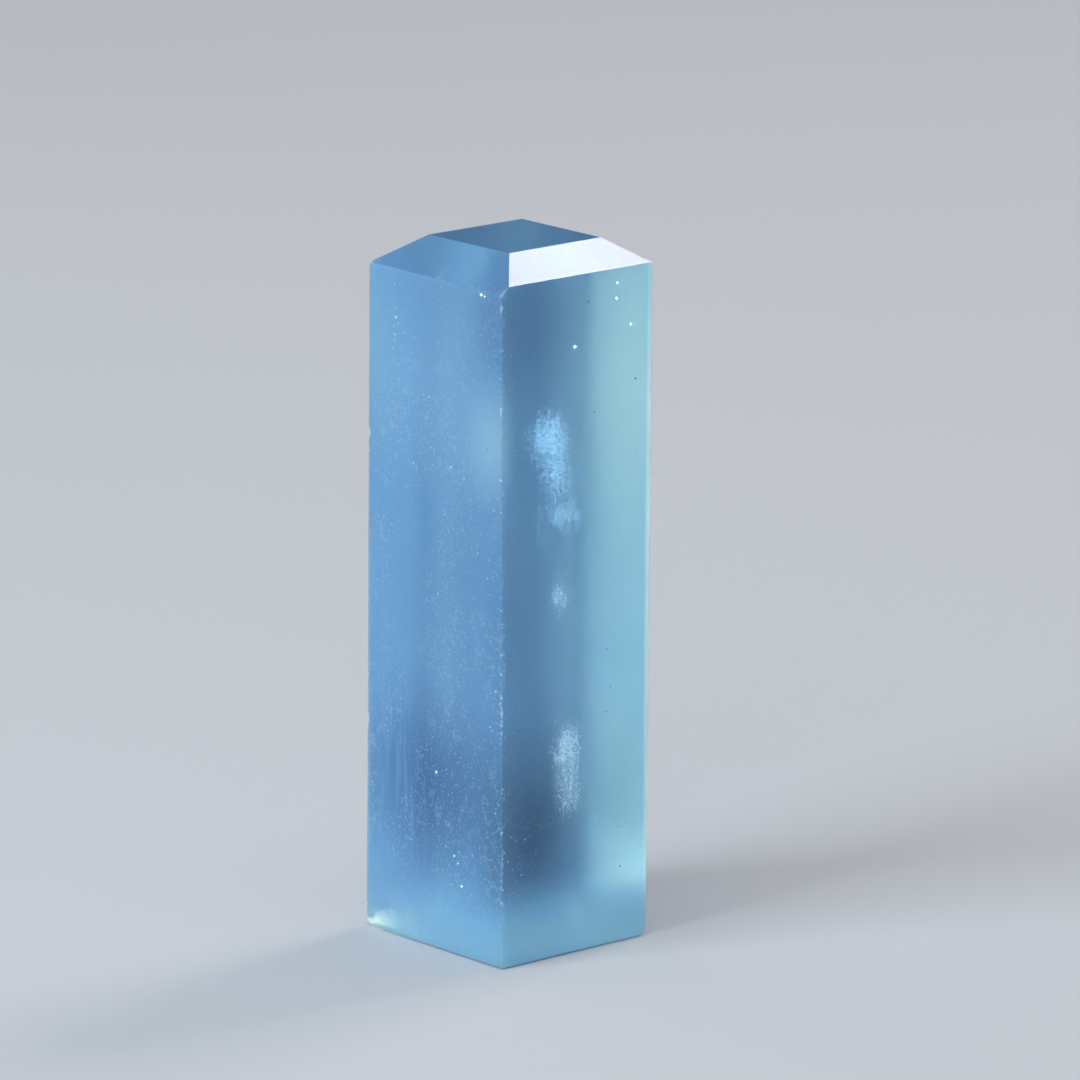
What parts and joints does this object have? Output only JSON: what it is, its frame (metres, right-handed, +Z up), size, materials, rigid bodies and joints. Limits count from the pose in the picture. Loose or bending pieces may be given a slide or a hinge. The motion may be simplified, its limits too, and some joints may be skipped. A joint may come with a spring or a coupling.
{
  "type": "polished aquamarine crystal column",
  "caption": "Square aquamarine prism with sloped crown facets and a small flat table, a polished display stone that stands on its flat base.",
  "frame": {"origin": "middle of the stone's bounding box, on its flat base", "axes": "+Z up along the column; the broad sides face -X, -Y, +X and +Y"},
  "size_m": [0.0106, 0.011, 0.038],
  "materials": {
    "milky_beryl": "hand-polished pale blue beryl, half clear and half milky, with fine scratches"
  },
  "bodies": {
    "root": {"aquamarine_crystal": "milky_beryl"}
  },
  "joints": []
}
